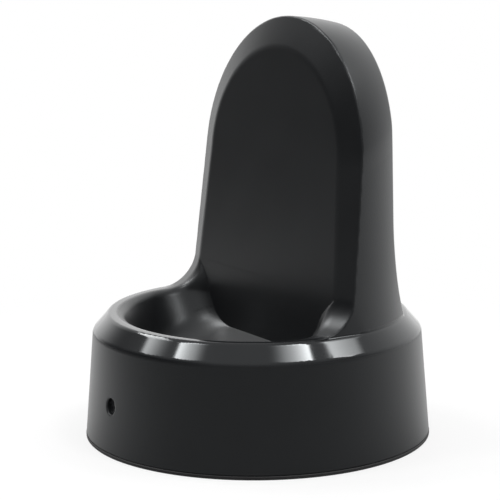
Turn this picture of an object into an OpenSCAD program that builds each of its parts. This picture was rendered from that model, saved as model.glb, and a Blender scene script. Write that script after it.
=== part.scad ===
// Wireless charging stand for a watch: a drafted round base with a cup in its top,
// and an upright arched tower with the sending coil behind its flat front panel.
// Millimetres, +Z up, front towards -Y. The origin is the centre of the underside.

/* [Base] */
// Radius of the base at the surface that it stands on
base_r = 28; // [27:0.25:32]
// Height of the rim above the surface
rim_h = 20.3; // [19.5:0.1:24]
// Inward draft of the wall, in degrees
wall_draft = 4.6; // [2:0.1:5.5]
// Height of the bright chamfer under the rim
chamfer_h = 2.8; // [2:0.1:3.6]
// Radial width of the bright chamfer
chamfer_w = 2.5; // [2:0.1:3]
// Thickness of the non-slip foot pad
foot_t = 0.6; // [0.4:0.1:1]
// Wall thickness of the moulded housing
shell = 2; // [1.6:0.1:2.2]

/* [Cup] */
// Width of the flat land between the rim's outer edge and the cup
lip_w = 2.1; // [1.6:0.1:2.8]
// Depth of the cup below the rim
cup_depth = 4.8; // [4.4:0.1:5.4]
// Slope of the cup's wall away from vertical, in degrees
cup_draft = 35; // [28:1:40]
// Radius between the cup's wall and its floor
cup_fillet = 6; // [4:0.5:7]
// Radius of the cup's two back corners, seen from above
cup_corner = 7; // [6:0.25:8]

/* [Tower] */
// Overall height of the stand
stand_h = 67.3; // [64:0.5:72]
// Distance of the panel behind the base axis, at the rim's height
panel_front = 0.9; // [0.3:0.1:1.6]
// Backward tilt of the front panel, in degrees
panel_tilt = 5.1; // [4:0.1:6]
// Backward tilt of the tower's front edge, in degrees
edge_tilt = 6; // [5:0.1:7]
// Setback of the front edge behind the panel, at the rim's height
edge_back = 1.14; // [0.8:0.02:1.4]
// Width of the sloping border round the arch
border_w = 4.2; // [3.4:0.1:4.8]
// Width of the sloping border at the rim
border_low_w = 3.4; // [3:0.1:4]
// Radius of the sweep from the front edge down into the rim
sweep_r = 5.4; // [4:0.2:6]
// Inward lean of the tower's sides, in degrees
side_lean = 1.64; // [1:0.1:2.2]
// Extra radius of the tower's sides where they meet the rim
side_flare = 0.35; // [0.1:0.05:0.5]
// Height of that flare
flare_h = 7; // [5:0.5:9]
// Distance of the tower's back behind the base axis, at its corners
back_y = 13.65; // [13:0.25:15]
// Radius of the back's gentle bulge, seen from above
back_bulge_r = 100; // [80:5:140]
// Radius of the back's flare into the base, seen from the side
back_flare_r = 44; // [36:2:60]
// Height at which the back's flare begins
back_flare_z = 36.5; // [32:0.5:38]
// Fall of the tower's top towards the back, in degrees
top_fall = 4.6; // [3:0.2:7]
// Radius of the tower's top line, seen from the side
top_round_r = 45; // [36:1:60]

/* [Board and base fittings] */
// Thickness of the bottom cover
cover_t = 2; // [1.6:0.1:2.4]
// Clearance round the bottom cover
cover_gap = 0.1; // [0.05:0.05:0.2]
// Width of the shelf that the bottom cover seats on
shelf_w = 0.8; // [0.6:0.1:1.2]
// Height of the posts that carry the circuit board
post_h = 2.4; // [2.2:0.1:3]
// Radius of those posts
post_r = 1.7; // [1.5:0.1:1.9]
// Clearance between the circuit board's edge and the screw bosses
board_gap = 1.1; // [0.4:0.1:1.4]
// Thickness of the circuit board
board_t = 1.2; // [1:0.1:1.6]
// Clearance between the ballast plate's edge and the board's posts
ballast_gap = 0.8; // [0.3:0.1:3]
// Thickness of the steel ballast plate
ballast_t = 1.8; // [1:0.1:2.1]
// Distance of the board's parts from its edge
edge_margin = 1; // [0.6:0.1:1.4]
// Radius of the screw bosses in the housing
boss_r = 2.4; // [2.3:0.1:2.7]
// Radius of the screw threads
screw_r = 0.98; // [0.7:0.02:1.1]
// Radius of the screw heads
head_r = 1.9; // [1.6:0.1:2]
// Height of the screw heads
head_h = 1; // [0.8:0.1:1.2]
// Length of the cover screws under their heads
cover_screw_l = 6; // [5:0.5:8]
// Length of the board screws under their heads
board_screw_l = 3; // [2.5:0.1:3.4]

/* [Socket and lamp] */
// Width of the socket's steel shell
usb_w = 7.5; // [7:0.1:8]
// Height of the socket's steel shell
usb_h = 2.6; // [2.4:0.1:2.9]
// Length of the socket's steel shell
usb_l = 5.2; // [4.8:0.1:5.6]
// Thickness of the socket's steel shell
usb_wall = 0.3; // [0.25:0.05:0.4]
// Width of the plug opening in the housing's back
plug_w = 11.4; // [10:0.2:13]
// Height of the plug opening in the housing's back
plug_h = 7.4; // [6.6:0.2:8]
// Radius of the lamp hole in the housing's front
lamp_r = 1.25; // [1:0.05:1.4]
// Radius of the lamp's body
led_r = 1.5; // [1.4:0.05:1.6]
// Length of the lamp's body in front of its flange
led_l = 3; // [2.4:0.1:3.4]
// Thickness of the lamp's flange
led_flange_t = 1; // [0.8:0.1:1.2]

/* [Coil] */
// Distance of the coil bracket's edge inside the flat panel's edge
bracket_margin = 1.6; // [1.4:0.1:2.4]
// Distance of the ferrite disc's edge inside the bracket's edge
ferrite_margin = 1.3; // [0.6:0.1:2]
// Distance of the winding's edge inside the ferrite disc's edge
coil_margin = 1; // [0.4:0.1:2]
// Inner radius of the coil winding
coil_bore_r = 5.8; // [5.4:0.2:7]
// Thickness of the coil winding
coil_t = 1.2; // [0.8:0.1:1.3]
// Width of the winding's wire
wire_w = 0.8; // [0.5:0.05:0.9]
// Smallest gap between the winding's turns
turn_gap = 0.06; // [0.03:0.01:0.3]
// Thickness of the ferrite disc
ferrite_t = 0.8; // [0.6:0.1:1]
// Radius of the holding magnet
magnet_r = 5; // [3:0.2:5.2]
// Thickness of the adhesive pad
pad_t = 0.4; // [0.3:0.1:0.6]
// Thickness of the coil bracket
bracket_t = 1.5; // [1.2:0.1:1.6]
// Radius of the hole in the bracket's middle
bracket_hole_r = 4; // [3:0.2:5]
// Width of the bracket's legs
leg_w = 4; // [3:0.2:5]
// Radius of the coil's two leads
lead_r = 0.5; // [0.4:0.05:0.6]

/* [Hidden] */
$fn = 96;

black = [0.05, 0.05, 0.055];
gap = 0.1;
overlap = 1;

// Base outline
shoulder_h = rim_h - chamfer_h;
shoulder_r = wall_r(shoulder_h);
rim_r = shoulder_r - chamfer_w;
ceiling_h = rim_h - shell;
cup_floor = rim_h - cup_depth;
cup_r = rim_r - lip_w;

// Heights of the fittings in the base, from the cover up
cover_top = foot_t + cover_t;
cover_r = base_r - 2.3;
cavity_r = cover_r - shelf_w;
board_z = cover_top + post_h;
board_top = board_z + board_t;
usb_z = board_top + usb_h / 2;
usb_front = sqrt(pow(cavity_r, 2) - pow(usb_w / 2, 2)) - 0.3;
led_flange_r = led_r + 0.4;
lamp_z = board_top + led_flange_r;
boss_place = cavity_r - boss_r + 0.5;
board_r = boss_place - boss_r - board_gap;
post_ring_r = board_r - head_r - 0.3;
post_turn = 20;
ballast_r = post_ring_r - post_r - ballast_gap;

// Tower outline. The arch springs where its side meets the lean of the walls.
half_w = sqrt(pow(side_r(stand_h - rim_r), 2) - pow(edge_y(stand_h - rim_r), 2));
spring_h = stand_h - half_w;
spring_r = side_r(spring_h);
top_y = edge_y(stand_h);
panel_r = half_w - border_w;
panel_low_w = sqrt(pow(rim_r, 2) - pow(edge_y(rim_h), 2)) - border_low_w;
low_z = rim_h - 8;
back_corner_x = 18.7;
back_mid_y = back_y + pow(back_corner_x, 2) / (2 * back_bulge_r);

// The coil's layers fit behind the flat panel, each a margin smaller than the one behind it
bracket_r = panel_r - bracket_margin;
ferrite_r = bracket_r - ferrite_margin;
coil_r = ferrite_r - coil_margin;
coil_turns = floor((coil_r - coil_bore_r - wire_w) / (wire_w + turn_gap));

// Layers behind the panel, as depths from its face
coil_d = shell + gap;
ferrite_d = coil_d + coil_t;
pad_d = ferrite_d + ferrite_t;
bracket_d = pad_d + pad_t;
rib_d = bracket_d + bracket_t + gap;

function wall_r(z) = base_r - z * tan(wall_draft);
function panel_y(z) = panel_front + (z - rim_h) * tan(panel_tilt);
function edge_y(z) = panel_front + edge_back + (z - rim_h) * tan(edge_tilt);
function side_r(z) = rim_r - side_flare - (z - rim_h) * tan(side_lean)
    + side_flare * pow(max(0, 1 - (z - rim_h) / flare_h), 2);
function arch_r(y) = sqrt(pow(spring_r, 2) - pow(y, 2));
function top_z(y) = stand_h - (y - top_y) * tan(top_fall) - pow(y - top_y, 2) / (2 * top_round_r);
function back_flare(z) = z > back_flare_z ? 0
    : back_flare_r - sqrt(pow(back_flare_r, 2) - pow(back_flare_z - z, 2));
function arc(cx, cy, r, a0, a1, n) =
    [for (i = [0:n]) let (a = a0 + (a1 - a0) * i / n) [cx + r * cos(a), cy + r * sin(a)]];

// Closed skin over rings of points that all have the same count
module loft(rings) {
    count = len(rings[0]);
    last = len(rings) - 1;
    walls = [for (i = [0:last - 1]) for (j = [0:count - 1]) let (k = (j + 1) % count)
        [i * count + j, (i + 1) * count + j, (i + 1) * count + k, i * count + k]];
    bottom = [for (j = [0:count - 1]) j];
    top = [for (j = [count - 1:-1:0]) last * count + j];
    polyhedron([for (ring = rings) each ring], concat([bottom], walls, [top]), convexity = 6);
}

// The tower's walls as a column about the base axis, which the arch is cut from
module side_column(inset) {
    zs = [low_z, rim_h, rim_h + 1, rim_h + 2.2, rim_h + 3.6, rim_h + 5.2, rim_h + flare_h, stand_h + 1];
    rotate_extrude()
        polygon(concat([[0, low_z]],
            [for (z = zs) [side_r(max(z, rim_h)) - inset - 0.02, z]],
            [[0, stand_h + 1]]));
}

// The tower's gently bulging back, with its flare into the base
module back_face(inset) {
    steps = 8;
    zs = [for (i = [0:steps]) low_z + (back_flare_z - low_z) * i / steps];
    translate([0, back_mid_y - back_bulge_r, 0])
        rotate_extrude($fn = 240)
            polygon(concat([[0, low_z]],
                [for (z = zs) [back_bulge_r - inset + back_flare(z), z]],
                [[back_bulge_r - inset, stand_h + 1], [0, stand_h + 1]]));
}

// A thin arch in a plane that leans back with height
module arch_plate(r, centre_z, low_w, y0, slope) {
    multmatrix([[1, 0, 0, 0], [0, 1, slope, y0 - slope * rim_h], [0, 0, 1, 0]])
        rotate([90, 0, 0])
            linear_extrude(0.01)
                polygon(concat([[-low_w, low_z], [low_w, low_z]], arc(0, centre_z, r, 0, 180, 36)));
}

// Solid of the tower, drawn in by inset to make its hollow
module tower_form(inset) {
    side_low = (rim_h - low_z) * 0.09;
    reach = min(back_mid_y + back_flare(rim_h) + 0.3, spring_r - 1) - top_y;
    steps = 8;
    back_ys = [for (i = [0:steps]) top_y + 0.2 + reach * i / steps];
    intersection() {
        hull() {
            arch_plate(panel_r - inset / 2, spring_h - inset / 2, panel_low_w + side_low - inset / 2,
                panel_front + inset, tan(panel_tilt));
            arch_plate(half_w - inset, spring_h, rim_r - inset,
                panel_front + edge_back + inset, tan(edge_tilt));
            for (y = back_ys)
                arch_plate(arch_r(y) - inset, top_z(y) - arch_r(y), rim_r - inset, y, 0);
        }
        side_column(inset);
        back_face(inset);
    }
}

// Sweep from the tower's sloping border down into the rim, along the border's own slope
module side_sweep() {
    slope = atan(edge_back / border_low_w);
    lean = atan(tan(panel_tilt) * cos(slope) + 0.09 * sin(slope));
    line_y = panel_front * cos(slope) - panel_low_w * sin(slope);
    centre_y = line_y + sweep_r * tan(lean) - sweep_r / cos(lean);
    intersection() {
        rotate([0, 0, slope])
            translate([panel_low_w - 12, 0, 0])
                rotate([90, 0, 90])
                    linear_extrude(rim_r)
                        polygon(concat([[centre_y, rim_h - overlap]],
                            arc(centre_y, rim_h + sweep_r, sweep_r, -90, -lean, 14),
                            [[centre_y + sweep_r + 6, rim_h + sweep_r * (1 - sin(lean))],
                                [centre_y + sweep_r + 6, rim_h - overlap]]));
        side_column(0);
    }
}

// Outline of the cup at one height: round in front, with two wide back corners,
// which are at most as wide as leaves room for them between the front and the back
function cup_ring(z, r, corner, back) =
    let (c = min(corner, 0.49 * (r + back)), cy = back - c, cx = sqrt(pow(r - c, 2) - pow(cy, 2)),
        turn = atan2(cy, cx))
    [for (p = concat(arc(0, 0, r, -180 - turn, turn, 46), arc(cx, cy, c, turn + 6, 90, 10),
        arc(-cx, cy, c, 90, 174 - turn, 10))) [p[0], p[1], z]];

// Space of the cup, or with grow set, the cup's own wall round that space.
// The corners tighten above the rim, so the cup runs out into the panel's edge.
module cup_form(grow) {
    tip_r = 0.147;
    steps = 6;
    top = 6;
    foot_r = cup_r - cup_depth * tan(cup_draft) - cup_fillet * tan((90 - cup_draft) / 2);
    floor_arc = arc(foot_r, cup_floor + cup_fillet, cup_fillet + grow, -90, -cup_draft, steps);
    wall_top = cup_r + grow / cos(cup_draft);
    rings = concat(
        [for (p = floor_arc) cup_ring(p[1], p[0], cup_corner + grow, panel_y(p[1]) + 0.4 + grow)],
        [cup_ring(rim_h, wall_top, cup_corner + grow, panel_y(rim_h) + 0.4 + grow)],
        [for (h = [1.5, 2.7, 3.6, 4.3, top]) cup_ring(rim_h + h, wall_top,
            max(1.5, cup_corner - tip_r * pow(h, 2)) + grow, panel_y(rim_h + h) + 0.4 + grow)]);
    intersection() {
        loft(rings);
        multmatrix([[1, 0, 0, 0], [0, 1, tan(panel_tilt), grow + panel_y(0)], [0, 0, 1, 0]])
            translate([-40, -60, 0])
                cube([80, 60, stand_h]);
    }
}

module base_form() {
    rotate_extrude()
        polygon([[0, foot_t], [wall_r(foot_t) - 0.15, foot_t], [wall_r(foot_t), foot_t + 0.15],
            [shoulder_r, shoulder_h], [rim_r, rim_h], [0, rim_h]]);
}

// Hollow of the base above the cover's seat, with the seat itself
module base_hollow() {
    rotate_extrude()
        polygon([[0, foot_t - overlap], [cover_r, foot_t - overlap], [cover_r, cover_top],
            [cavity_r, cover_top], [shoulder_r - shell, shoulder_h - 0.8],
            [rim_r - shell * 0.8, ceiling_h], [0, ceiling_h]]);
}

module at_bosses() {
    for (a = [45:90:315])
        rotate([0, 0, a])
            translate([boss_place, 0, 0])
                children();
}

module at_posts() {
    for (a = [post_turn, 180 - post_turn, 180 + post_turn, -post_turn])
        rotate([0, 0, a])
            translate([post_ring_r, 0, 0])
                children();
}

// Moves to the panel's face at the coil's centre, with +Z pointing out of the panel
module on_panel(depth) {
    translate([0, panel_y(spring_h), spring_h])
        rotate([90 - panel_tilt, 0, 0])
            translate([0, 0, -depth])
                children();
}

module plug_opening() {
    corner = 1.2;
    translate([0, cavity_r - 3, usb_z])
        rotate([-90, 0, 0])
            linear_extrude(8) {
                square([plug_w - 2 * corner, plug_h], center = true);
                square([plug_w, plug_h - 2 * corner], center = true);
                for (x = [-1, 1]) for (y = [-1, 1])
                    translate([x * (plug_w / 2 - corner), y * (plug_h / 2 - corner)])
                        circle(corner, $fn = 32);
            }
}

// Ribs on the inside of the tower's back that hold the bracket forward
module back_ribs() {
    rib_t = 1.2;
    rib_l = back_y + 1;
    rib_x = bracket_r / 2;
    low = bracket_r - 1;
    high = bracket_r - 5;
    intersection() {
        on_panel(rib_d + rib_l)
            for (x = [-rib_x, rib_x])
                translate([x - rib_t / 2, -low, 0])
                    cube([rib_t, low + high, rib_l]);
        tower_form(shell / 2);
    }
}

module housing() {
    pilot_l = cover_screw_l - cover_t + 1.6;
    color(black)
        difference() {
            union() {
                difference() {
                    union() {
                        base_form();
                        tower_form(0);
                        side_sweep();
                        mirror([1, 0, 0])
                            side_sweep();
                    }
                    difference() {
                        union() {
                            base_hollow();
                            tower_form(shell);
                        }
                        cup_form(shell);
                    }
                }
                at_bosses()
                    translate([0, 0, cover_top])
                        cylinder(r = boss_r, h = ceiling_h + 0.4 - cover_top, $fn = 48);
                back_ribs();
            }
            cup_form(0);
            at_bosses()
                translate([0, 0, cover_top - overlap])
                    cylinder(r = screw_r + 0.02, h = pilot_l + overlap, $fn = 32);
            translate([0, -cavity_r + 2, lamp_z])
                rotate([90, 0, 0])
                    cylinder(r = lamp_r, h = 6, $fn = 48);
            plug_opening();
        }
}

module bottom_cover() {
    color([0.08, 0.08, 0.085])
        difference() {
            union() {
                translate([0, 0, foot_t])
                    cylinder(r = cover_r - cover_gap, h = cover_t);
                at_posts()
                    translate([0, 0, cover_top - overlap])
                        cylinder(r = post_r, h = post_h + overlap, $fn = 48);
            }
            at_bosses() {
                translate([0, 0, foot_t - overlap])
                    cylinder(r = screw_r + 0.2, h = cover_t + 2 * overlap, $fn = 32);
                translate([0, 0, foot_t - overlap])
                    cylinder(r = head_r + 0.2, h = head_h + overlap, $fn = 48);
            }
            at_posts()
                translate([0, 0, board_z - board_screw_l + board_t - 0.2])
                    cylinder(r = screw_r + 0.02, h = board_screw_l + 2, $fn = 32);
        }
}

module foot_pad() {
    color([0.1, 0.1, 0.1])
        rotate_extrude()
            polygon([[0, 0], [base_r - 0.15, 0], [base_r, 0.15], [base_r, foot_t - 0.1],
                [base_r - 0.1, foot_t], [0, foot_t]]);
}

module ballast_plate() {
    color([0.55, 0.56, 0.58])
        translate([0, 0, cover_top])
            cylinder(r = ballast_r, h = ballast_t);
}

// A pan-head screw with its head's seat at the origin and its shank along +Z
module screw(length) {
    rotate_extrude($fn = 32)
        polygon([[0, -head_h], [head_r - 0.3, -head_h], [head_r, -head_h + 0.3], [head_r, 0],
            [screw_r, 0], [screw_r, length - 0.5], [0.3, length], [0, length]]);
}

module cover_screws() {
    color("silver")
        at_bosses()
            translate([0, 0, foot_t + head_h])
                screw(cover_screw_l);
}

module circuit_board() {
    tab_side = 1.75;
    tab_w = usb_w + 2 * tab_side;
    lamp_tab_w = 2 * (led_flange_r + tab_side);
    color([0.07, 0.28, 0.16])
        translate([0, 0, board_z])
            difference() {
                linear_extrude(board_t) {
                    circle(board_r);
                    translate([-tab_w / 2, 0])
                        square([tab_w, usb_front - 0.7]);
                    translate([-lamp_tab_w / 2, -cavity_r + 1.6])
                        square([lamp_tab_w, cavity_r]);
                }
                at_posts()
                    translate([0, 0, -overlap])
                        cylinder(r = screw_r + 0.12, h = board_t + 2 * overlap, $fn = 32);
            }
}

module board_screws() {
    color("silver")
        at_posts()
            translate([0, 0, board_top])
                mirror([0, 0, 1])
                    screw(board_screw_l);
}

// The socket's mouth: a rectangle with its two lower corners cut away
function socket_outline(inset) =
    let (w = usb_w / 2 - inset, h = usb_h / 2 - inset, cut = 0.9)
    [[-w, h], [w, h], [w, -h + cut], [w - cut, -h], [-w + cut, -h], [-w, -h + cut]];

module socket_prism(y0, length, inset) {
    translate([0, y0 + length, usb_z])
        rotate([90, 0, 0])
            linear_extrude(length)
                polygon(socket_outline(inset));
}

module usb_shell() {
    color("silver")
        difference() {
            socket_prism(usb_front - usb_l, usb_l, 0);
            socket_prism(usb_front - usb_l - overlap, usb_l + 2 * overlap, usb_wall);
        }
}

block_l = 1.4;
tongue_w = 4;
tongue_t = 0.6;
tongue_z = usb_z + 0.35;
contact_t = 0.12;

module usb_tongue() {
    color([0.04, 0.04, 0.04])
        union() {
            socket_prism(usb_front - usb_l, block_l, usb_wall);
            translate([-tongue_w / 2, usb_front - usb_l, tongue_z])
                cube([tongue_w, usb_l - 0.9, tongue_t]);
        }
}

module usb_contacts() {
    pitch = 0.65;
    color("gold")
        for (i = [-2:2])
            translate([i * pitch - 0.2, usb_front - usb_l + block_l, tongue_z - contact_t])
                cube([0.4, usb_l - block_l - 1.3, contact_t]);
}

// A flat package on the board
module chip(x, y, w, d, h) {
    translate([x, y, board_top])
        linear_extrude(h)
            square([w, d], center = true);
}

// Centre of a w by d block whose outer corner lies just inside the board's edge, at an angle
function edge_place(angle, w, d) =
    let (corner = (board_r - edge_margin) * [cos(angle), sin(angle)])
    [corner[0] - sign(corner[0]) * w / 2, corner[1] - sign(corner[1]) * d / 2];

module controller_chip() {
    color([0.1, 0.1, 0.11])
        chip(0, -4, 5, 5, 0.9);
}

module power_transistors() {
    color([0.12, 0.12, 0.13])
        for (angle = [56.5, 123.5]) {
            place = edge_place(angle, 6, 5);
            chip(place[0], place[1], 6, 5, 1.1);
        }
}

module power_inductor() {
    width = 6;
    height = 2.6;
    place = edge_place(-51.5, width, width);
    color([0.3, 0.3, 0.32])
        union() {
            chip(place[0], place[1], width, width, height);
            translate([place[0], place[1], board_top + height])
                cylinder(r = 0.4 * width, h = 0.3, $fn = 48);
        }
}

// Four in a block, two by two
module tank_capacitors() {
    pitch = [3.4, 3.9];
    size = [2.5, 3.2];
    place = edge_place(-128.5, pitch[0] + size[0], pitch[1] + size[1]);
    color([0.62, 0.5, 0.36])
        for (i = [-0.5, 0.5]) for (j = [-0.5, 0.5])
            chip(place[0] + i * pitch[0], place[1] + j * pitch[1], size[0], size[1], 1.6);
}

module input_capacitors() {
    color([0.62, 0.5, 0.36])
        for (i = [0, 1])
            chip(0, board_r - 3 - 2 * i, 2, 1.25, 1.2);
}

module chip_resistors() {
    color([0.15, 0.15, 0.16])
        for (side = [-1, 1]) for (i = [0:2]) for (j = [0:1])
            chip(side * (4.2 + 2.2 * i), -2.3 + 2.4 * j, 1, 0.6, 0.4);
}

led_face = cavity_r - 1.2;

// Lamp that lies on the board with its dome towards the light pipe
module status_led() {
    color([0.9, 0.9, 0.86, 0.8])
        translate([0, -led_face, lamp_z])
            rotate([-90, 0, 0])
                rotate_extrude($fn = 48)
                    polygon(concat(arc(0, led_r, led_r, -90, 0, 10),
                        [[led_r, led_l], [led_flange_r, led_l],
                            [led_flange_r, led_l + led_flange_t], [0, led_l + led_flange_t]]));
}

module light_pipe() {
    pipe_front = wall_r(lamp_z) - 0.8;
    flange = cavity_r - 0.7;
    color([0.85, 0.88, 0.9, 0.5])
        translate([0, -flange - 0.01, lamp_z])
            rotate([90, 0, 0])
                cylinder(r = lamp_r - 0.05, h = pipe_front - flange, $fn = 48);
}

// Flat spiral of one wire, as a strip that runs out along its inner and outer edges
module coil_winding() {
    steps = 26;
    count = coil_turns * steps;
    inner = coil_bore_r + wire_w / 2;
    rise = (coil_r - coil_bore_r - wire_w) / count;
    path = [for (i = [0:count]) [(inner + rise * i) * cos(i * 360 / steps - 90),
        (inner + rise * i) * sin(i * 360 / steps - 90)]];
    outside = [for (i = [0:count]) path[i] * (1 + wire_w / 2 / norm(path[i]))];
    inside = [for (i = [count:-1:0]) path[i] * (1 - wire_w / 2 / norm(path[i]))];
    color([0.72, 0.36, 0.16])
        on_panel(coil_d + coil_t)
            linear_extrude(coil_t)
                polygon(concat(outside, inside));
}

module ferrite_disc() {
    color([0.2, 0.2, 0.21])
        on_panel(ferrite_d + ferrite_t)
            cylinder(r = ferrite_r, h = ferrite_t);
}

module holding_magnet() {
    color("silver")
        on_panel(ferrite_d)
            cylinder(r = magnet_r, h = coil_t - gap, $fn = 64);
}

module adhesive_pad() {
    color([0.85, 0.85, 0.8])
        on_panel(bracket_d)
            cylinder(r = ferrite_r - 2, h = pad_t);
}

// Arched plate with two legs that stand on the board
module coil_bracket() {
    leg_x = bracket_r - leg_w - 2;
    plate_low = bracket_r + 0.7;
    color([0.1, 0.1, 0.11])
        intersection() {
            on_panel(bracket_d + bracket_t)
                linear_extrude(bracket_t)
                    difference() {
                        union() {
                            circle(bracket_r);
                            translate([-bracket_r, -plate_low])
                                square([2 * bracket_r, plate_low]);
                            for (x = [-1, 1])
                                translate([x * leg_x - leg_w / 2, -spring_h])
                                    square([leg_w, spring_h]);
                        }
                        circle(bracket_hole_r);
                    }
            translate([-30, -30, board_top])
                cube([60, 60, stand_h]);
        }
}

// One lead: from the winding's edge down behind the panel to the board, bowed back a little
function lead_path(x) =
    let (high = spring_h - coil_r * cos(panel_tilt) - 0.3, depth = coil_d + coil_t / 2, bow = 0.4)
    [for (t = [0:0.125:1]) let (z = high + (board_top - high) * t)
        [x * (1 + 0.2 * t), panel_y(z) + depth + bow * sin(180 * t), z]];

module coil_leads() {
    sides = 8;
    color([0.75, 0.12, 0.1])
        for (x = [-2, 2])
            loft([for (p = lead_path(x)) [for (j = [0:sides - 1])
                [p[0] + lead_r * cos(-j * 360 / sides), p[1] + lead_r * sin(-j * 360 / sides), p[2]]]]);
}

housing();
bottom_cover();
foot_pad();
ballast_plate();
cover_screws();
circuit_board();
board_screws();
usb_shell();
usb_tongue();
usb_contacts();
controller_chip();
power_transistors();
power_inductor();
tank_capacitors();
input_capacitors();
chip_resistors();
status_led();
light_pipe();
coil_winding();
ferrite_disc();
holding_magnet();
adhesive_pad();
coil_bracket();
coil_leads();
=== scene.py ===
import math

import bpy
import numpy as np
from mathutils import Matrix, Vector


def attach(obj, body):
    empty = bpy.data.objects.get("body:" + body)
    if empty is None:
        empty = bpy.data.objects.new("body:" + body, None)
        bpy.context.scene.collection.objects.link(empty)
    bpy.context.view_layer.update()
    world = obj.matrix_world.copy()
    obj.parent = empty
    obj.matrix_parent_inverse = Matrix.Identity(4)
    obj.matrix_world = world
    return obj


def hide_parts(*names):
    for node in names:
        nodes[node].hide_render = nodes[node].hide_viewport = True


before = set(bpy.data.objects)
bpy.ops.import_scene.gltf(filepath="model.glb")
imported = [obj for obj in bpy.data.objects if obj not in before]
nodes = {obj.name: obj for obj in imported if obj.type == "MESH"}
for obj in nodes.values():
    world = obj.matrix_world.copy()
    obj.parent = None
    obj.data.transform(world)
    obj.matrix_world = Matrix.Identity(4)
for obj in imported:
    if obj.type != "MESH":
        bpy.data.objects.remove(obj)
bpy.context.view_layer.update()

MM = 0.001

# Sizes, in millimetres

BASE_R = 28.0
RIM_H = 20.3
DRAFT = math.tan(math.radians(4.6))
SHOULDER_H = 17.5
SHOULDER_R = BASE_R - SHOULDER_H * DRAFT
RIM_R = SHOULDER_R - 2.5
FOOT_T = 0.6
COVER_TOP = 2.6
SHELL = 2.0

CUP_R = RIM_R - 2.1
CUP_FLOOR = 15.5
CUP_TAN = math.tan(math.radians(35))
CUP_COS = math.cos(math.radians(35))
CUP_FILLET = 6.0
CUP_CORNER = 7.0
CUP_BOWL_FILLET = 7.0
CUP_BOWL_DROP = 3.4
CUP_BOWL_REACH = 12.0

STAND_H = 67.3
PANEL_FRONT = 0.9
PANEL_TAN = math.tan(math.radians(5.1))
EDGE_FRONT = PANEL_FRONT + 1.14
EDGE_TAN = math.tan(math.radians(6.0))
BORDER_W = 4.3
BORDER_LOW_W = 3.5
ARCH_BORDER_EXTRA = 0.55
SWEEP_R = 5.4
LEAN = math.tan(math.radians(1.64))
SIDE_FLARE = 0.35
FLARE_H = 7.0
BACK_R = 100.0
BACK_MID_Y = 13.65 + 18.7 ** 2 / (2 * BACK_R)
BACK_FLARE_R = 44.0
BACK_FLARE_Z = 36.5
TOP_TAN = math.tan(math.radians(4.6))
TOP_ROUND_R = 45.0
TOWER_LOW_Z = RIM_H - 8

LAMP_Z = 8.1
LAMP_R = 1.25
PLUG_Z = 7.5
PLUG_HALF_W = 5.7
PLUG_HALF_H = 3.7
PLUG_CORNER = 1.2
BOSS_AT = 23.0 / math.sqrt(2)


def panel_y(z):
    return PANEL_FRONT + (z - RIM_H) * PANEL_TAN


def edge_y(z):
    return EDGE_FRONT + (z - RIM_H) * EDGE_TAN


def side_r(z):
    up = np.maximum(z - RIM_H, 0)
    return RIM_R - SIDE_FLARE - up * LEAN + SIDE_FLARE * np.maximum(0, 1 - up / FLARE_H) ** 2


HALF_W = math.sqrt(float(side_r(STAND_H - RIM_R)) ** 2 - edge_y(STAND_H - RIM_R) ** 2)
SPRING_H = STAND_H - HALF_W
SPRING_R = float(side_r(SPRING_H))
TOP_Y = edge_y(STAND_H)
PANEL_R = HALF_W - BORDER_W
PANEL_LOW_W = math.sqrt(RIM_R ** 2 - edge_y(RIM_H) ** 2) - BORDER_LOW_W + 0.09 * (RIM_H - TOWER_LOW_Z)
IN_SLOPE = (PANEL_LOW_W - PANEL_R) / (SPRING_H - TOWER_LOW_Z)
OUT_SLOPE = (RIM_R - HALF_W) / (SPRING_H - TOWER_LOW_Z)


# The housing as one distance field

def smax(a, b, k):
    """Larger of two distances, with the crease between them rounded over a width of about k."""
    h = np.maximum(k - np.abs(a - b), 0)
    return np.maximum(a, b) + h * h / (4 * k)


def smin(a, b, k):
    return -smax(-a, -b, k)


def sweep(a, b, r):
    """Union of two solids with a concave sweep of radius r where they meet."""
    return np.maximum(r, np.minimum(a, b)) - np.hypot(np.maximum(r - a, 0), np.maximum(r - b, 0))


def tower_front(x, y, z):
    """Flat panel with the sloping border round it."""
    above = np.maximum(z - SPRING_H, 0)
    below = np.maximum(SPRING_H - z, 0)
    from_middle = np.hypot(x, above)
    inner = PANEL_R + below * IN_SLOPE - ARCH_BORDER_EXTRA * (above / np.maximum(from_middle, 1)) ** 2
    outer = HALF_W + below * OUT_SLOPE
    share = (from_middle - inner) / (outer - inner)
    flat = (panel_y(z) - y) * 0.996
    border = (panel_y(z) + share * (edge_y(z) - panel_y(z)) - y) * 0.94
    return smax(flat, border, 0.22)


def tower_top(x, y, z):
    arch = np.sqrt(np.maximum(SPRING_R ** 2 - y * y, 1))
    top = STAND_H - (y - TOP_Y) * TOP_TAN - (y - TOP_Y) ** 2 / (2 * TOP_ROUND_R)
    up = z - (top - arch)
    line = x - arch - (RIM_R - arch) * np.maximum(-up, 0) / np.maximum(top - arch - TOWER_LOW_Z, 1)
    return np.where(up > 0, np.hypot(x, up) - arch, line)


def tower_back(x, y, z):
    drop = np.clip(BACK_FLARE_Z - z, 0, 36)
    flare = BACK_FLARE_R - np.sqrt(BACK_FLARE_R ** 2 - drop * drop)
    return np.hypot(x, y - BACK_MID_Y + BACK_R) - BACK_R - flare


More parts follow.
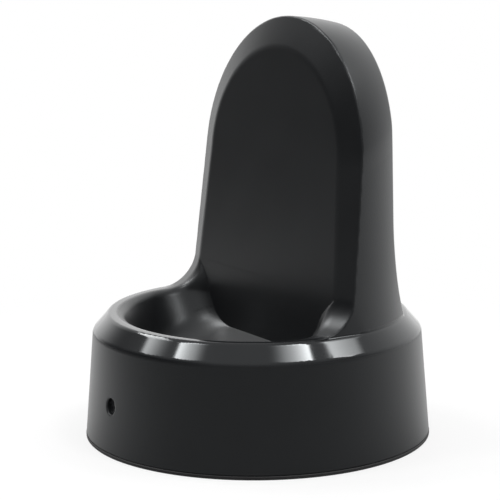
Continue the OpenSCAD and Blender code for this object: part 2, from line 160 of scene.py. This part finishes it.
def cup(x, y, z):
    """Cavity of the cup: round in front, with two wide back corners against the panel's plane."""
    over_rim = np.maximum(z - RIM_H, 0)
    corner = np.maximum(1.5, CUP_CORNER - 0.147 * over_rim ** 2)
    cy = panel_y(z) + 0.4 - corner
    c = np.maximum(x - np.sqrt(np.maximum(corner ** 2 - (y - cy) ** 2, 0)), 0)
    s = np.where(c * y - cy * x > 0, corner + np.hypot(c, cy), np.hypot(x, y))
    under = RIM_H - z
    under = (under + np.sqrt(under * under + 0.09)) / 2
    wall = (s - CUP_R + under * CUP_TAN) * CUP_COS

    # Away from the panel the floor sinks and its fillet widens into a bowl
    away = 1 - np.clip(1 - (panel_y(z) - y) / CUP_BOWL_REACH, 0, 1) ** 2
    floor = CUP_FLOOR - CUP_BOWL_DROP * away
    fillet = CUP_FILLET + (CUP_BOWL_FILLET - CUP_FILLET) * away
    u = s - (CUP_R - (RIM_H - floor) * CUP_TAN - fillet * math.tan(math.radians(27.5)))
    v = z - floor - fillet
    curved = (u > 0) & (v < -u * CUP_TAN)
    return np.where(curved, np.hypot(u, v) - fillet, np.maximum(wall, floor - z))


def housing_field(x, y, z):
    """Signed distance to the moulded housing, negative inside its walls."""
    right = x
    x = np.abs(x)
    r = np.hypot(x, y)
    wall = (r - BASE_R + z * DRAFT) * 0.9968
    chamfer = ((r - SHOULDER_R) * 2.8 + (z - SHOULDER_H) * 2.5) / math.hypot(2.8, 2.5)
    side = r - side_r(z)
    front = tower_front(x, y, z)
    base = smax(wall, chamfer, 0.3)
    tower = smax(smax(side, tower_top(x, y, z), 0.15), tower_back(x, y, z), 0.6)
    around = smin(smax(base, z - RIM_H, 0.35), tower, 0.14)
    body = smax(sweep(z - RIM_H, front, SWEEP_R), around, 0.2)

    # The cup, with a rounded lip that sharpens to a crease at the panel
    cavity = cup(x, y, z)
    behind = (y - panel_y(z)) * 0.996
    lip_k = 0.02 + 1.0 * np.clip((-behind - 0.05) / 2.5, 0, 1)
    body = smax(body, -np.maximum(cavity, behind), lip_k)

    # The hollow inside
    liner = np.maximum(r - 24.9 + (z - COVER_TOP) * 0.0213, ((r - 24.6) * 1.6 + (z - 16.7) * 2.1) / 2.64)
    liner = np.maximum(liner, z - 18.3)
    bosses = np.maximum(np.hypot(x - BOSS_AT, np.abs(y) - BOSS_AT) - 2.4, COVER_TOP - z)
    liner = np.maximum(liner, -bosses)
    liner = np.minimum(liner, np.maximum(r - 25.7, z - COVER_TOP))
    hollow = np.maximum(front, tower) + SHELL
    hollow = np.minimum(liner, np.maximum(hollow, TOWER_LOW_Z - z))
    hollow = np.maximum(hollow, SHELL - np.maximum(cavity, behind))
    body = smax(body, -hollow, 0.2)

    # Screw holes, lamp hole, plug opening and the flat underside
    pilots = np.maximum(np.hypot(x - BOSS_AT, np.abs(y) - BOSS_AT) - 1.02, z - 8.2)
    body = np.maximum(body, -pilots)
    lamp = np.maximum(np.hypot(right, z - LAMP_Z) - LAMP_R, y + 20)
    body = smax(body, -lamp, 0.3)
    px = x - PLUG_HALF_W + PLUG_CORNER
    pz = np.abs(z - PLUG_Z) - PLUG_HALF_H + PLUG_CORNER
    plug = np.hypot(np.maximum(px, 0), np.maximum(pz, 0)) + np.minimum(np.maximum(px, pz), 0) - PLUG_CORNER
    body = smax(body, -np.maximum(plug, 20 - y), 0.5)
    return smax(body, FOOT_T - z, 0.25)


def gradient(field, p, step=0.02):
    g = np.empty_like(p)
    for i in range(3):
        d = np.zeros(3)
        d[i] = step
        g[:, i] = field(*(p + d).T) - field(*(p - d).T)
    return g / (2 * step)


def surface(field, xs, ys, zs):
    """Quads over the field's zero level, with one point in each grid cell that the surface crosses.
    Each point lies where the planes through the cell's crossings meet, so that creases stay crisp."""
    grid = (xs, ys, zs)
    f = np.empty([len(g) for g in grid])
    for k in range(0, len(zs), 16):
        f[:, :, k:k + 16] = field(*np.meshgrid(xs, ys, zs[k:k + 16], indexing="ij"))
    inside = f < 0
    shape = [n - 1 for n in f.shape]
    rings, crossings = [], []
    for axis in range(3):
        u, v = [(1, 2), (2, 0), (0, 1)][axis]
        low = [slice(1, -1)] * 3
        high = [slice(1, -1)] * 3
        low[axis], high[axis] = slice(0, -1), slice(1, None)
        at = np.argwhere(inside[tuple(low)] != inside[tuple(high)])
        at[:, u] += 1
        at[:, v] += 1
        to = at.copy()
        to[:, axis] += 1
        fa, fb = f[tuple(at.T)], f[tuple(to.T)]
        p = np.stack([grid[i][at[:, i]] for i in range(3)], 1)
        p[:, axis] += fa / (fa - fb) * (grid[axis][to[:, axis]] - p[:, axis])
        n = gradient(field, p)
        n /= np.maximum(np.linalg.norm(n, axis=1), 1e-9)[:, None]
        ring = []
        for du, dv in ((1, 1), (0, 1), (0, 0), (1, 0)):
            cell = at.copy()
            cell[:, u] -= du
            cell[:, v] -= dv
            ring.append(np.ravel_multi_index(cell.T, shape))
        ring = np.stack(ring, 1)
        crossings += [(ring[:, i], p, n) for i in range(4)]
        ring[fa >= 0] = ring[fa >= 0][:, ::-1]
        rings.append(ring)
    rings = np.concatenate(rings)
    used, faces = np.unique(rings, return_inverse=True)
    faces = faces.reshape(rings.shape)
    cell = np.searchsorted(used, np.concatenate([c[0] for c in crossings]))
    p = np.concatenate([c[1] for c in crossings])
    n = np.concatenate([c[2] for c in crossings])
    total = lambda w: np.bincount(cell, w, len(used))
    count = total(np.ones(len(cell)))
    middle = np.stack([total(p[:, i]) for i in range(3)], 1) / count[:, None]
    off = (n * (p - middle[cell])).sum(1)
    ata = np.empty((len(used), 3, 3))
    atb = np.empty((len(used), 3))
    for i in range(3):
        atb[:, i] = total(n[:, i] * off)
        for j in range(3):
            ata[:, i, j] = total(n[:, i] * n[:, j])
    ata += 0.04 * count[:, None, None] * np.eye(3)
    place = middle + np.linalg.solve(ata, atb[:, :, None])[:, :, 0]
    corner = np.stack(np.unravel_index(used, shape), 1)
    low = np.stack([grid[i][corner[:, i]] for i in range(3)], 1)
    high = np.stack([grid[i][corner[:, i] + 1] for i in range(3)], 1)
    place = np.clip(place, low, high)
    for _ in range(2):
        g = gradient(field, place)
        place -= (field(*place.T) / np.maximum((g * g).sum(1), 0.2))[:, None] * g
        place = np.clip(place, low, high)
    return place, faces


def shade_by_field(obj, field):
    """Normals from the field: smooth along the surface, and split where a face turns away at a crease."""
    mesh = obj.data
    co = np.empty(len(mesh.vertices) * 3, np.float32)
    mesh.vertices.foreach_get("co", co)
    co = co.reshape(-1, 3).astype(float) / MM
    corners = np.empty(len(mesh.loops), np.int32)
    mesh.loops.foreach_get("vertex_index", corners)
    tri = corners.reshape(-1, 3)

    def unit(v):
        return v / np.maximum(np.linalg.norm(v, axis=1), 1e-9)[:, None]

    smooth = unit(gradient(field, co))[corners]
    middle = np.repeat(co[tri].mean(1), 3, axis=0)
    inner = unit(gradient(field, co[corners] + 0.3 * (middle - co[corners])))
    turn = np.clip(((smooth * inner).sum(1) - 0.94) / 0.05, 0, 1)[:, None]
    normals = unit(smooth * turn + inner * (1 - turn))
    mesh.polygons.foreach_set("use_smooth", [True] * len(mesh.polygons))
    mesh.normals_split_custom_set(normals.tolist())


def ruler(*stops):
    """Grid lines from stop to stop, each stop with the spacing that leads up to the next one."""
    lines = [stops[0][0]]
    for (a, step), (b, _) in zip(stops, stops[1:]):
        count = max(1, round((b - a) / step))
        lines += [a + (b - a) * i / count for i in range(1, count + 1)]
    return np.array(lines)


def mesh_object(name, points, faces):
    mesh = bpy.data.meshes.new(name)
    mesh.from_pydata((points * MM).tolist(), [], faces.tolist())
    obj = bpy.data.objects.new(name, mesh)
    bpy.context.scene.collection.objects.link(obj)
    return obj


def thin_out(obj, keep):
    """Fewer triangles where the surface is plain; the result stays in the mesh."""
    mod = obj.modifiers.new("thin", "DECIMATE")
    mod.ratio = keep
    obj.modifiers.new("triangles", "TRIANGULATE")
    graph = bpy.context.evaluated_depsgraph_get()
    thinned = bpy.data.meshes.new_from_object(obj.evaluated_get(graph))
    obj.modifiers.clear()
    old = obj.data
    obj.data = thinned
    bpy.data.meshes.remove(old)


def build_housing():
    xs = ruler((-28.3, 0.32), (-1.9, 0.2), (1.9, 0.32), (28.3, 0))
    ys = ruler((-28.3, 0.32), (28.3, 0))
    zs = ruler((0.2, 0.2), (1.0, 0.5), (6.5, 0.2), (9.7, 0.5), (16.5, 0.26), (21.5, 0.4), (26.5, 0.55),
               (58.0, 0.4), (67.8, 0))
    points, faces = surface(housing_field, xs, ys, zs)
    obj = mesh_object("housing_moulding", points, faces)
    faces_now = 2 * len(faces)
    thin_out(obj, min(1.0, 192000 / faces_now))
    shade_by_field(obj, housing_field)
    print("housing triangles", len(obj.data.polygons), "from", faces_now)
    return obj


# Materials

def new_material(name):
    mat = bpy.data.materials.new(name)
    mat.use_nodes = True
    return mat, mat.node_tree, mat.node_tree.nodes["Principled BSDF"]


def math_node(tree, kind, a, b=None, clamp=False):
    n = tree.nodes.new("ShaderNodeMath")
    n.operation = kind
    n.use_clamp = clamp
    for i, v in enumerate((a, b)):
        if v is None:
            continue
        if isinstance(v, (int, float)):
            n.inputs[i].default_value = v
        else:
            tree.links.new(v, n.inputs[i])
    return n.outputs[0]


def step_node(tree, value, low, high):
    n = tree.nodes.new("ShaderNodeMapRange")
    n.interpolation_type = "SMOOTHSTEP"
    tree.links.new(value, n.inputs["Value"])
    n.inputs["From Min"].default_value = low
    n.inputs["From Max"].default_value = high
    return n.outputs["Result"]


def noise(tree, scale, detail=3.0, rough=0.55):
    coord = tree.nodes.new("ShaderNodeTexCoord")
    n = tree.nodes.new("ShaderNodeTexNoise")
    n.inputs["Scale"].default_value = scale
    n.inputs["Detail"].default_value = detail
    n.inputs["Roughness"].default_value = rough
    tree.links.new(coord.outputs["Object"], n.inputs["Vector"])
    return n.outputs["Fac"]


def mix_range(tree, value, low, high):
    n = tree.nodes.new("ShaderNodeMapRange")
    tree.links.new(value, n.inputs["Value"])
    n.inputs["To Min"].default_value = low
    n.inputs["To Max"].default_value = high
    return n.outputs["Result"]


def ramp(tree, value, stops):
    n = tree.nodes.new("ShaderNodeValToRGB")
    while len(n.color_ramp.elements) < len(stops):
        n.color_ramp.elements.new(0.5)
    for e, (pos, colour) in zip(n.color_ramp.elements, stops):
        e.position = pos
        e.color = (*colour, 1)
    tree.links.new(value, n.inputs["Fac"])
    return n.outputs["Color"]


def bump(tree, bsdf, height, strength, distance):
    n = tree.nodes.new("ShaderNodeBump")
    n.inputs["Strength"].default_value = strength
    n.inputs["Distance"].default_value = distance
    tree.links.new(height, n.inputs["Height"])
    tree.links.new(n.outputs["Normal"], bsdf.inputs["Normal"])
    return n


def simple(name, dark, light, rough, metal=0.0, scale=900.0, depth=0.00002, strength=0.25, coat=0.0):
    """Mottled colour, uneven roughness and a fine grain."""
    mat, tree, bsdf = new_material(name)
    patches = noise(tree, scale / 6)
    grain = noise(tree, scale * 4, 2.0)
    tree.links.new(ramp(tree, patches, [(0.3, dark), (0.7, light)]), bsdf.inputs["Base Color"])
    tree.links.new(mix_range(tree, grain, rough - 0.05, rough + 0.06), bsdf.inputs["Roughness"])
    bsdf.inputs["Metallic"].default_value = metal
    bsdf.inputs["Coat Weight"].default_value = coat
    bump(tree, bsdf, grain, strength, depth)
    return mat


def moulded_black():
    """Fine satin texture on the tower and the wall, polished on the chamfer and the rim."""
    mat, tree, bsdf = new_material("moulded_black")
    coord = tree.nodes.new("ShaderNodeTexCoord")
    split = tree.nodes.new("ShaderNodeSeparateXYZ")
    tree.links.new(coord.outputs["Object"], split.inputs[0])
    x, y, z = split.outputs
    r = math_node(tree, "SQRT", math_node(tree, "ADD", math_node(tree, "MULTIPLY", x, x),
                                          math_node(tree, "MULTIPLY", y, y)))
    above = step_node(tree, z, 0.01735, 0.01752)
    below = math_node(tree, "SUBTRACT", 1.0, step_node(tree, z, 0.02042, 0.0207))
    outer = step_node(tree, r, 0.0224, 0.0232)
    polished = math_node(tree, "MULTIPLY", math_node(tree, "MULTIPLY", above, below), outer)

    patches = noise(tree, 120.0, 4.0)
    grain = noise(tree, 3600.0, 2.0)
    satin = mix_range(tree, patches, 0.31, 0.37)
    rough = math_node(tree, "SUBTRACT", satin, math_node(tree, "MULTIPLY", polished, 0.26))
    tree.links.new(rough, bsdf.inputs["Roughness"])
    tree.links.new(ramp(tree, patches, [(0.3, (0.0072, 0.0077, 0.0088)), (0.7, (0.0090, 0.0096, 0.0108))]),
                   bsdf.inputs["Base Color"])
    height = math_node(tree, "MULTIPLY", grain, math_node(tree, "SUBTRACT", 1.0, polished))
    bump(tree, bsdf, height, 0.35, 0.00003)
    bsdf.inputs["IOR"].default_value = 1.5
    bsdf.inputs["Specular Tint"].default_value = (0.95, 0.985, 1.0, 1.0)
    return mat


housing = build_housing()
housing.data.materials.append(moulded_black())
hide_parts("housing")
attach(housing, "root")

LOOKS = {
    "bottom_cover": simple("cover_black", (0.012, 0.012, 0.013), (0.018, 0.018, 0.02), 0.5),
    "foot_pad": simple("foot_rubber", (0.012, 0.012, 0.013), (0.02, 0.02, 0.021), 0.62, depth=0.00004),
    "ballast_plate": simple("steel", (0.42, 0.43, 0.45), (0.52, 0.53, 0.55), 0.38, 1.0),
    "circuit_board": simple("board_green", (0.01, 0.10, 0.045), (0.016, 0.14, 0.065), 0.3, coat=0.4),
    "usb_tongue": simple("tongue_black", (0.012, 0.012, 0.012), (0.02, 0.02, 0.02), 0.45),
    "usb_contacts": simple("gilt", (0.75, 0.52, 0.2), (0.85, 0.62, 0.28), 0.25, 1.0),
    "status_led": simple("lens", (0.6, 0.62, 0.6), (0.7, 0.72, 0.7), 0.15, coat=0.5),
    "light_pipe": simple("light_pipe", (0.02, 0.021, 0.023), (0.03, 0.031, 0.034), 0.12, coat=0.6),
    "coil_winding": simple("copper", (0.55, 0.22, 0.09), (0.68, 0.3, 0.13), 0.3, 1.0),
    "adhesive_pad": simple("pad_white", (0.55, 0.55, 0.5), (0.65, 0.65, 0.6), 0.8),
    "coil_leads": simple("red_insulation", (0.35, 0.02, 0.015), (0.45, 0.03, 0.02), 0.4),
}
PLATED = simple("plated", (0.6, 0.6, 0.62), (0.72, 0.72, 0.74), 0.22, 1.0)
PACKAGE = simple("package_black", (0.012, 0.012, 0.013), (0.022, 0.022, 0.023), 0.55)
CERAMIC = simple("ceramic_tan", (0.32, 0.22, 0.12), (0.42, 0.3, 0.17), 0.5)
FERRITE = simple("ferrite_grey", (0.035, 0.035, 0.038), (0.06, 0.06, 0.063), 0.6)
for name in ("cover_screws", "board_screws", "usb_shell", "holding_magnet"):
    LOOKS[name] = PLATED
for name in ("controller_chip", "power_transistors", "chip_resistors", "coil_bracket"):
    LOOKS[name] = PACKAGE
for name in ("tank_capacitors", "input_capacitors"):
    LOOKS[name] = CERAMIC
for name in ("power_inductor", "ferrite_disc"):
    LOOKS[name] = FERRITE
for name, mat in LOOKS.items():
    mesh = nodes[name].data
    mesh.materials.clear()
    mesh.materials.append(mat)


# Camera

CAMERA_TURN = math.radians(57.25)
CAMERA_AWAY = 330.0
CAMERA_UP = 94.111
LOOK_AT_UP = 32.0
YAW, PITCH, ROLL = -0.0031, -0.0058, -0.0070
FOCAL_PX = 2085.0
FRAME_PX = 500

eye = Vector((0, -CAMERA_AWAY, CAMERA_UP))
look = (Vector((0, 0, LOOK_AT_UP)) - eye).normalized()
right = look.cross(Vector((0, 0, 1))).normalized()
up = right.cross(look)
look, right = (look * math.cos(YAW) + right * math.sin(YAW), right * math.cos(YAW) - look * math.sin(YAW))
look, up = (look * math.cos(PITCH) + up * math.sin(PITCH), up * math.cos(PITCH) - look * math.sin(PITCH))
right, up = (right * math.cos(ROLL) + up * math.sin(ROLL), up * math.cos(ROLL) - right * math.sin(ROLL))
turn = Matrix.Rotation(CAMERA_TURN, 3, "Z")
axes = Matrix([turn @ right, turn @ up, turn @ -look]).transposed().to_4x4()

camera_data = bpy.data.cameras.new("camera")
camera_data.sensor_width = 36.0
camera_data.lens = FOCAL_PX / FRAME_PX * 36.0
camera_data.clip_start, camera_data.clip_end = 0.01, 20.0
camera = bpy.data.objects.new("camera", camera_data)
camera.matrix_world = Matrix.Translation((turn @ eye) * MM) @ axes
bpy.context.scene.collection.objects.link(camera)
bpy.context.scene.camera = camera


# Floor, world and lamps

CAMERA_AZ = math.radians(57.25)
TO_CAMERA = (math.sin(CAMERA_AZ), -math.cos(CAMERA_AZ), 0)
TO_RIGHT = (math.cos(CAMERA_AZ), math.sin(CAMERA_AZ), 0)
REACH = 40.0


def along(tree, vector, axis):
    n = tree.nodes.new("ShaderNodeVectorMath")
    n.operation = "DOT_PRODUCT"
    tree.links.new(vector, n.inputs[0])
    n.inputs[1].default_value = axis
    return n.outputs["Value"]


def level_direction(tree, vector):
    """How far a place or direction lies towards the camera and to the camera's right, from -1 to 1."""
    flat = tree.nodes.new("ShaderNodeVectorMath")
    flat.operation = "MULTIPLY"
    tree.links.new(vector, flat.inputs[0])
    flat.inputs[1].default_value = (1, 1, 0)
    unit = tree.nodes.new("ShaderNodeVectorMath")
    unit.operation = "NORMALIZE"
    tree.links.new(flat.outputs["Vector"], unit.inputs[0])
    return along(tree, unit.outputs["Vector"], TO_CAMERA), along(tree, unit.outputs["Vector"], TO_RIGHT)


def blend(tree, share, low, high):
    """Value that goes from low to high with share; low and high may be numbers or sockets."""
    span = math_node(tree, "SUBTRACT", high, low)
    return math_node(tree, "ADD", low, math_node(tree, "MULTIPLY", span, share))


def emission(tree, strength):
    n = tree.nodes.new("ShaderNodeEmission")
    n.inputs["Color"].default_value = (1, 1, 1, 1)
    if isinstance(strength, (int, float)):
        n.inputs["Strength"].default_value = strength
    else:
        tree.links.new(strength, n.inputs["Strength"])
    return n.outputs[0]


def choose(tree, share, first, second):
    n = tree.nodes.new("ShaderNodeMixShader")
    if isinstance(share, (int, float)):
        n.inputs["Fac"].default_value = share
    else:
        tree.links.new(share, n.inputs["Fac"])
    tree.links.new(first, n.inputs[1])
    tree.links.new(second, n.inputs[2])
    return n.outputs[0]


def diffuse(tree, tone):
    n = tree.nodes.new("ShaderNodeBsdfDiffuse")
    n.inputs["Color"].default_value = (tone, tone, tone, 1)
    return n.outputs[0]


# The floor is white paper. In reflections it dims towards the photographer and far out on the left.
floor_mesh = bpy.data.meshes.new("floor")
floor_mesh.from_pydata([(-REACH, -REACH, 0), (REACH, -REACH, 0), (REACH, REACH, 0), (-REACH, REACH, 0)],
                       [], [(0, 1, 2, 3)])
floor = bpy.data.objects.new("floor", floor_mesh)
floor.location.z = -0.00002
bpy.context.scene.collection.objects.link(floor)
mat = bpy.data.materials.new("floor_white")
mat.use_nodes = True
tree = mat.node_tree
tree.nodes.remove(tree.nodes["Principled BSDF"])
path = tree.nodes.new("ShaderNodeLightPath")
place = tree.nodes.new("ShaderNodeTexCoord").outputs["Object"]
near, right = level_direction(tree, place)
span = tree.nodes.new("ShaderNodeVectorMath")
span.operation = "LENGTH"
tree.links.new(place, span.inputs[0])
paper = blend(tree, step_node(tree, near, -0.95, 1.2), 1.25, 0.34)
far_left = math_node(tree, "MULTIPLY", step_node(tree, span.outputs["Value"], 0.07, 0.3),
                     math_node(tree, "SUBTRACT", 1.0, step_node(tree, right, -0.85, -0.45)))
far_left = math_node(tree, "MULTIPLY", far_left, math_node(tree, "SUBTRACT", 1.0, step_node(tree, near, -0.3, 1.0)))
paper = math_node(tree, "MULTIPLY", paper, blend(tree, far_left, 1.0, 0.1))
mirrored = math_node(tree, "MAXIMUM", path.outputs["Is Glossy Ray"], path.outputs["Is Transmission Ray"])
unseen = choose(tree, mirrored, diffuse(tree, 0.5), emission(tree, paper))
near_share = step_node(tree, span.outputs["Value"], 0.035, 0.11)
seen = choose(tree, blend(tree, near_share, 0.75, 1.0), diffuse(tree, 0.9), emission(tree, 1.0))
tree.links.new(choose(tree, path.outputs["Is Camera Ray"], unseen, seen),
               tree.nodes["Material Output"].inputs["Surface"])
floor_mesh.materials.append(mat)

# A white tent behind and above the object, and a dim room on the photographer's side and far left
world = bpy.data.worlds.new("world")
bpy.context.scene.world = world
world.use_nodes = True
wt = world.node_tree
wt.nodes.remove(wt.nodes["Background"])
direction = wt.nodes.new("ShaderNodeTexCoord").outputs["Generated"]
near, right = level_direction(wt, direction)
up = along(wt, direction, (0, 0, 1))
horizon = blend(wt, step_node(wt, near, -0.95, 0.4), 1.46, 0.28)
dim_left = math_node(wt, "SUBTRACT", 1.0, step_node(wt, right, -0.85, -0.5))
horizon = math_node(wt, "MULTIPLY", horizon, blend(wt, dim_left, 1.0, 0.13))
tent = blend(wt, step_node(wt, up, 0.35, 0.9), horizon, 0.75)
path = wt.nodes.new("ShaderNodeLightPath")
wt.links.new(choose(wt, path.outputs["Is Camera Ray"], emission(wt, tent), emission(wt, 1.0)),
             wt.nodes["World Output"].inputs["Surface"])


def softbox(name, azimuth, elevation, width, height, radiance, fade=0.0, away=1500.0, aim=(0, 0, 19)):
    """Flat lamp that faces the object. Azimuth counts from the camera's side; width and height are
    in degrees as the object sees them, and radiance 1 is as bright as a white wall. With fade, it
    dims from one side to the other by that many powers of e, to the left where fade is above zero."""
    a, e = CAMERA_AZ + math.radians(azimuth), math.radians(elevation)
    towards = Vector((math.sin(a) * math.cos(e), -math.cos(a) * math.cos(e), math.sin(e)))
    data = bpy.data.lights.new(name, "AREA")
    data.shape = "RECTANGLE"
    data.size = 2 * away * math.tan(math.radians(width / 2)) * MM
    data.size_y = 2 * away * math.tan(math.radians(height / 2)) * MM
    data.energy = radiance * math.pi * data.size * data.size_y
    data.use_nodes = True
    lt = data.node_tree
    place = lt.nodes.new("ShaderNodeSeparateXYZ")
    lt.links.new(lt.nodes.new("ShaderNodeNewGeometry").outputs["Parametric"], place.inputs[0])
    u, v = place.outputs[0], place.outputs[1]
    power = math_node(lt, "EXPONENT", math_node(lt, "MULTIPLY", u if fade < 0 else
                                                math_node(lt, "SUBTRACT", 1.0, u), -abs(fade)))
    dim, bright = (1.0, 0.0) if fade < 0 else (0.0, 1.0)
    for t, start, full in ((u, bright, abs(bright - 0.08)), (u, dim, abs(dim - 0.4)), (v, 0, 0.15), (v, 1, 0.85)):
        power = math_node(lt, "MULTIPLY", power, step_node(lt, t, start, full))
    lt.links.new(power, lt.nodes["Emission"].inputs["Strength"])
    lamp = bpy.data.objects.new(name, data)
    lamp.location = (Vector(aim) + towards * away) * MM
    lamp.rotation_euler = towards.to_track_quat("Z", "Y").to_euler()
    bpy.context.scene.collection.objects.link(lamp)
    return lamp


softbox("lamp_left_near", -73, 59, 14, 15, 26, fade=-2.6)
softbox("lamp_left_far", -113, 47, 31, 16, 13, fade=-0.7)
softbox("lamp_right_near", 42, 67, 20, 15, 34, fade=3.2)
softbox("lamp_right_far", 98, 53, 25, 20, 14, fade=-2.4)

bpy.context.scene.view_settings.view_transform = "Standard"
